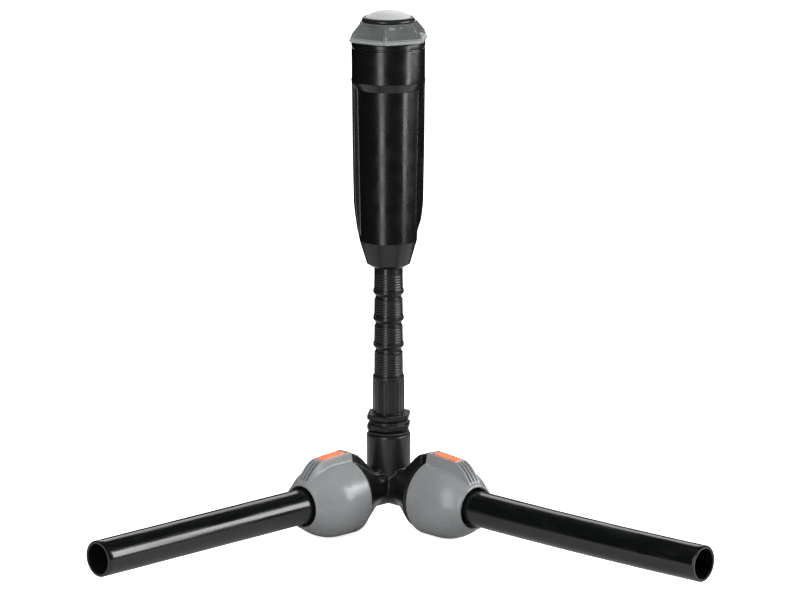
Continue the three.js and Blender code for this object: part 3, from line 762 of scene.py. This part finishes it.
def tee():
    """Socket, elbow, two flared arms and their lugs fused into one skin with soft inner corners."""
    top = span_mm("corner_tee")[1]
    flare = (NECK_R, FLARE_START - 3), (NECK_R + 0.2, FLARE_START + 1), (17.0, 26.5), (BELL_R, BELL_END - 1.2)
    arm = [(POLE_R, TEE_CORE), (NECK_R, TEE_CORE)] + bezier(*flare, 14)
    arm += [(BELL_R, BELL_END), (BARREL_R, BELL_END), (BARREL_R, BARREL_END), (POLE_R, BARREL_END)]
    corners = [(POLE_R, TEE_CORE, 0), (SOCKET_R - 0.3, TEE_CORE, 1), (SOCKET_R, 8, 2)]
    socket = rounded(corners + [(SOCKET_R, top, 0.8), (POLE_R, top, 0)])
    pole_to_pole = np.linspace(-math.pi / 2, math.pi / 2, 24)
    ball = [(NECK_R * math.cos(t) + POLE_R, NECK_R * math.sin(t)) for t in pole_to_pole]
    points, faces = [], []
    arms = [np.array(arm_frame(side).to_3x3()) for side in SIDES]
    upright = np.identity(3)
    for profile, place in ((arm, arms[0]), (arm, arms[1]), (socket, upright), (ball, upright)):
        rows = lathe_rows(profile, angles(TEE_FACETS))
        faces += skin_faces(len(rows), TEE_FACETS, first=len(points))
        points += list(np.concatenate(rows) @ place.T)
    for place in arms:
        (corners, n), first = lug_points(place), len(points)
        points += list(corners)
        faces.append(tuple(first + k for k in range(n)))
        faces.append(tuple(first + n + k for k in reversed(range(n))))
        faces += [(first + k, first + n + k, first + n + (k + 1) % n, first + (k + 1) % n) for k in range(n)]
    piece = finish_mesh("tee_body", points, faces, TEE_BLACK, "base", ["corner_tee"])
    with_modifier(piece, "REMESH", mode="VOXEL", voxel_size=0.5 * MM)
    with_modifier(piece, "SMOOTH", factor=0.5, iterations=24)
    settle(piece, TEE_BLACK, "base", sharp=70)


# ---- pipe connections ----

NUT_R, NUT_BACK, NUT_FRONT, NUT_MOUTH = 26.8, 41.2, 85.0, 14.3
DOME_START, DOME_END = 57, (16.9, 83.2)
NUT_OFF = {"left": 0.0, "right": 3.0}
PAD_HALF, PAD_HIGH, PAD_TILT = 7.3, 32.75, 3.8
PAD_SLOPE = math.tan(math.radians(PAD_TILT))
MARKER_START, MARKER_LENGTH, MARKER_HALF = 46.0, 22.0, 3.8
GROOVES = (-3.0, 0.0, 3.0)
GROOVE_ENDS = (69.2, 83.2)
SEAT_STEP = 0.03  # the skin has a row this far each side of the seat's ends, so that they stay crisp


def nut(side):
    """A domed nut with a raised pad: the marker's seat on top, then three grip slots down its slope."""
    dome = bezier((NUT_R, DOME_START), (NUT_R - 0.1, 68), (22.2, 76), DOME_END, 30)
    corners = [(24.8, NUT_BACK, 0), (26.0, NUT_BACK, 0.5), (NUT_R, NUT_BACK + 1.4, 0.8)]
    outer = rounded(corners + [(NUT_R, DOME_START, 0)])
    corners = [(*DOME_END, 0), (16.4, 84.5, 0.7), (15.6, NUT_FRONT, 0.5), (14.9, NUT_FRONT, 0.4)]
    lip = rounded(corners + [(NUT_MOUTH, 84.3, 0.5), (NUT_MOUTH, 79, 0)])
    inner = [(20.6, 62.4), (20.6, 61.0), (24.8, 61.0)]
    skin = dense(outer + dome[1:], 0.45)
    seat_ends = (MARKER_START - 0.6, MARKER_START + MARKER_LENGTH + 0.5)
    land = bezier((PAD_HIGH - 27.2 * PAD_SLOPE, 68.6), (30.0, 73.4), (25.4, 78.6), (17.2, 84.0), 24)
    land_z = np.array([NUT_BACK] + [p[1] for p in land])
    land_h = np.array([PAD_HIGH] + [p[0] for p in land])

    def shape(r, z, a):
        if r[0] < 15.6 or z < NUT_BACK + 0.15 or z > 83.8:
            return r
        side_on, top_on = np.abs(np.sin(a)), -np.cos(a)
        upper = top_on > 0.3
        height = float(np.interp(z, land_z, land_h)) - 0.9 * (1 - ramp(z, NUT_BACK, NUT_BACK + 1.6)) ** 2
        flank = (PAD_HALF + 0.18 * height - 2.0) / np.maximum(side_on + 0.18 * (top_on - 1) + 0.18, 0.01)
        pad = smooth_min(height / np.maximum(top_on, 0.05), flank, 0.4)
        result = np.where(upper, smooth_max(r, pad, 0.8) - 0.05, r)
        across = result * np.sin(a)
        half = MARKER_HALF + 0.55
        if seat_ends[0] < z < seat_ends[1]:
            result = result - 2.1 * np.where(upper, ramp(-np.abs(across), -half - 0.12, -half + 0.12), 0)
        for place in GROOVES:
            slot = np.where(upper, ramp(-np.abs(across - place), -0.85, -0.6), 0)
            result = result - 2.8 * slot * ramp(z, GROOVE_ENDS[0], GROOVE_ENDS[0] + 0.6) * ramp(
                -z, -GROOVE_ENDS[1], -GROOVE_ENDS[1] + 1.6
            )
        return result

    radii, heights = np.transpose(skin)
    beside_ends = [z for end in seat_ends for z in (end - SEAT_STEP, end + SEAT_STEP)]
    added = [(float(np.interp(z, heights, radii)), z) for z in beside_ends]
    profile = skin[:2] + sorted(skin[2:] + added, key=lambda point: point[1]) + lip[1:]
    turn = angles(96, [(180, 24, 0.3)])
    rows = lathe_rows(profile, turn, shape) + lathe_rows(inner, turn)
    place = arm_frame(side) @ Matrix.Translation((0, 0, NUT_OFF[side] * MM))
    name, node = "nut_shell_" + side, "union_nut_" + side
    grid_piece(name, rows, NUT_GREY, "nut_" + side, [node], place, True, 55)


def marker(side):
    """A raised bar with bevelled edges, seated in the nut's pad and sloping with it."""
    levels = [(0.0, 0.1), (0.0, 1.0), (0.3, 1.45), (0.9, 1.6), (1.5, 1.6), (1.9, 1.35), (2.3, 1.35)]
    rows = []
    for inset, height in levels:
        half, low, high = MARKER_HALF - inset, inset, MARKER_LENGTH - inset
        corner = max(0.25, 1.0 - inset)
        outline = []
        for x, z, turn in ((1, 1, 0), (-1, 1, 90), (-1, -1, 180), (1, -1, 270)):
            centre = np.array((x * (half - corner), (high - corner) if z > 0 else (low + corner)))
            for t in np.radians(np.arange(turn, turn + 91, 15)):
                outline.append(centre + corner * np.array((math.cos(t), math.sin(t))))
        rows.append(np.array([(x, height, z) for x, z in outline]))
    seat = Matrix.Translation((0, 31.2 * MM, (MARKER_START + NUT_OFF[side]) * MM))
    place = arm_frame(side) @ seat @ turned_by(PAD_TILT, "X")
    name, node = "marker_bar_" + side, "lock_marker_" + side
    grid_piece(name, rows, ORANGE, "nut_" + side, [node], place)


PIPE_START, PIPE_STEP = 38.0, 3.0
END_LEAN = 1.3  # the bent pipe's end is cut square, so its outer edge reaches past its middle by this


def pipe(side):
    """Outside, cut end and bore, swept along the pipe's straight or bent run."""
    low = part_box("supply_pipe_" + side)[0]
    if side == "left":
        end = -low.x / MM
    else:
        deep = (-low.y / MM - BEND_START) / BEND_RADIUS
        end = BEND_START + BEND_RADIUS * math.asin(deep) - END_LEAN
    bore = PIPE_R - PIPE_WALL
    stations = list(np.arange(PIPE_START, end - PIPE_STEP, PIPE_STEP))
    outside = [(PIPE_R, s) for s in stations]
    outside += [(PIPE_R, end - 0.5), (PIPE_R - 0.15, end - 0.12), (PIPE_R - 0.5, end)]
    inside = [(bore + 0.4, end), (bore + 0.1, end - 0.12), (bore, end - 0.5)]
    inside += [(bore, s) for s in reversed(stations)]
    rows = []
    a = np.radians(angles(80))
    for r, s in outside + inside:
        bend = max(0.0, s - BEND_START) / BEND_RADIUS if side == "right" else 0.0
        centre = np.array([0, 0, s])
        if bend:
            aside = BEND_RADIUS * (1 - math.cos(bend))
            centre = np.array([aside, 0, BEND_START + BEND_RADIUS * math.sin(bend)])
        across = np.array([math.cos(bend), 0, -math.sin(bend)])
        wave = 1 + 0.0012 * math.sin(s * 0.11) + 0.0009 * math.sin(s * 0.29 + 1)
        ring = r * wave * (np.sin(a)[:, None] * across + np.cos(a)[:, None] * np.array([0, 1, 0]))
        rows.append(centre + ring)
    node = "supply_pipe_" + side
    grid_piece("pipe_" + side, rows, PIPE_BLACK, "base", [node], arm_frame(side), True)


# ---- hidden works keep their CAD shape ----


SLOT_FINISHES = {
    "white_plastic": ACETAL,
    "black_rubber": RUBBER,
    "stainless_steel": STEEL,
    "black_plastic": STEM_BLACK,
    "grey_plastic": NOZZLE_GREY,
    "light_grey_plastic": COVER_GREY,
    "orange_plastic": ORANGE,
    "black_pipe": PIPE_BLACK,
}


def finish_hidden_works():
    for entry in frame["record"]["subparts"]:
        node = frame["nodes"][entry["node"]]
        if node.hide_render:
            continue
        finish = SLOT_FINISHES[entry["material_slot"]]
        if not node.material_slots:
            node.data.materials.append(finish)
        for slot in node.material_slots:
            slot.material = finish


# ---- stage ----

SKY = 0.7


def plane(name, corners, material):
    mesh = bpy.data.meshes.new(name)
    mesh.from_pydata(corners, [], [tuple(range(len(corners)))])
    mesh.materials.append(material)
    made = add_object(name, mesh)
    return made


def disc(radius, height, count=96):
    turns = np.linspace(0, 2 * math.pi, count, False)
    return [(radius * math.cos(t), radius * math.sin(t), height) for t in turns]


def studio():
    """A white floor, which the pipes and the tee see close by, under an even white sky."""
    floor_z = CAD_BOX[0][2] - 0.0002
    n = Nodes("floor_white")
    tone = n.blend(n.noise(3.0, 3.0), (0.92, 0.92, 0.92, 1), (0.94, 0.94, 0.94, 1))
    seen = n.node("LightPath").outputs["Is Camera Ray"]
    bounce = n.blend(seen, (0.5, 0.5, 0.5, 1), tone)
    glow = n.between(seen, 0.0, 1.0, 0.0, 0.9)
    white = n.to_shader(
        Base_Color=bounce, Roughness=0.9, Specular_IOR_Level=0.1, Emission_Color=tone, Emission_Strength=glow
    )
    plane("floor_near", disc(0.42, floor_z), white)
    far = plane("floor_far", disc(6.0, floor_z - 0.0004), white)
    far.visible_glossy = False

    world = bpy.data.worlds.new("studio")
    bpy.context.scene.world = world
    world.use_nodes = True
    world.cycles_visibility.glossy = False
    tree = world.node_tree
    sky = tree.nodes["Background"]
    sky.inputs["Color"].default_value = (SKY, SKY, SKY, 1)
    seen = tree.nodes.new("ShaderNodeBackground")
    seen.inputs["Color"].default_value = (1, 1, 1, 1)
    mix = tree.nodes.new("ShaderNodeMixShader")
    ray = tree.nodes.new("ShaderNodeLightPath")
    tree.links.new(ray.outputs["Is Camera Ray"], mix.inputs[0])
    tree.links.new(sky.outputs[0], mix.inputs[1])
    tree.links.new(seen.outputs[0], mix.inputs[2])
    tree.links.new(mix.outputs[0], tree.nodes["World Output"].inputs["Surface"])


def softbox(name, azimuth, distance, height, width, tall, power, glossy=True, aim=0.12):
    """A soft area light. Azimuth is in degrees from the viewer's side, positive to the viewer's right."""
    data = bpy.data.lights.new(name, "AREA")
    data.shape, data.size, data.size_y = "RECTANGLE", width, tall
    data.energy = power
    light = add_object(name, data)
    turn = math.radians(azimuth + VIEW_TURN)
    light.location = (distance * math.sin(turn), -distance * math.cos(turn), height)
    light.rotation_euler = (Vector((0, 0, aim)) - light.location).to_track_quat("-Z", "Y").to_euler()
    light.visible_camera = False
    light.visible_glossy = glossy


SENSOR_MM, LENS_MM = 36.0, 178.25
CAMERA_DISTANCE, AIM_HEIGHT = 2.8, 0.1348
CAMERA_DOWN, CAMERA_ASIDE = math.radians(12.77), math.radians(0.17)


def camera():
    """Looks slightly down on the sprinkler, with both pipes coming forwards."""
    data = bpy.data.cameras.new("camera")
    data.sensor_width, data.lens = SENSOR_MM, LENS_MM
    data.clip_end = 50.0
    made = add_object("camera", data)
    turn = turned_by(VIEW_TURN)
    level, drop = math.cos(CAMERA_DOWN), math.sin(CAMERA_DOWN)
    looking = Vector((math.sin(CAMERA_ASIDE) * level, math.cos(CAMERA_ASIDE) * level, -drop))
    made.location = turn @ Vector((0, -CAMERA_DISTANCE * level, AIM_HEIGHT + CAMERA_DISTANCE * drop))
    made.rotation_euler = (turn.to_3x3() @ looking).to_track_quat("-Z", "Y").to_euler()
    bpy.context.scene.camera = made


def lights():
    softbox("strip_front", -24, 0.75, 0.34, 0.2, 1.0, 3.5)
    softbox("strip_right", 66, 0.7, 0.3, 0.09, 0.5, 1.9)
    softbox("pipe_light", 90, 0.9, 0.38, 0.5, 0.34, 5.5, aim=0.0)
    softbox("top_back", 180, 1.2, 0.8, 1.2, 0.5, 4.5, aim=0.05)
    softbox("front_fill", -40, 2.4, 1.5, 1.4, 1.0, 9.0, glossy=False)
    softbox("overhead", 0, 0.02, 1.6, 1.5, 1.5, 9.0, glossy=False)
    bpy.context.scene.view_settings.view_transform = "Standard"


camera()
case_body()
cap_shell()
wiper()
stem_tube()
arc_adjuster()
turret()
nozzle()
cover()
radius_screw()
spring()
riser()
gasket()
tee()
for side in SIDES:
    nut(side)
    marker(side)
    pipe(side)
finish_hidden_works()
studio()
lights()
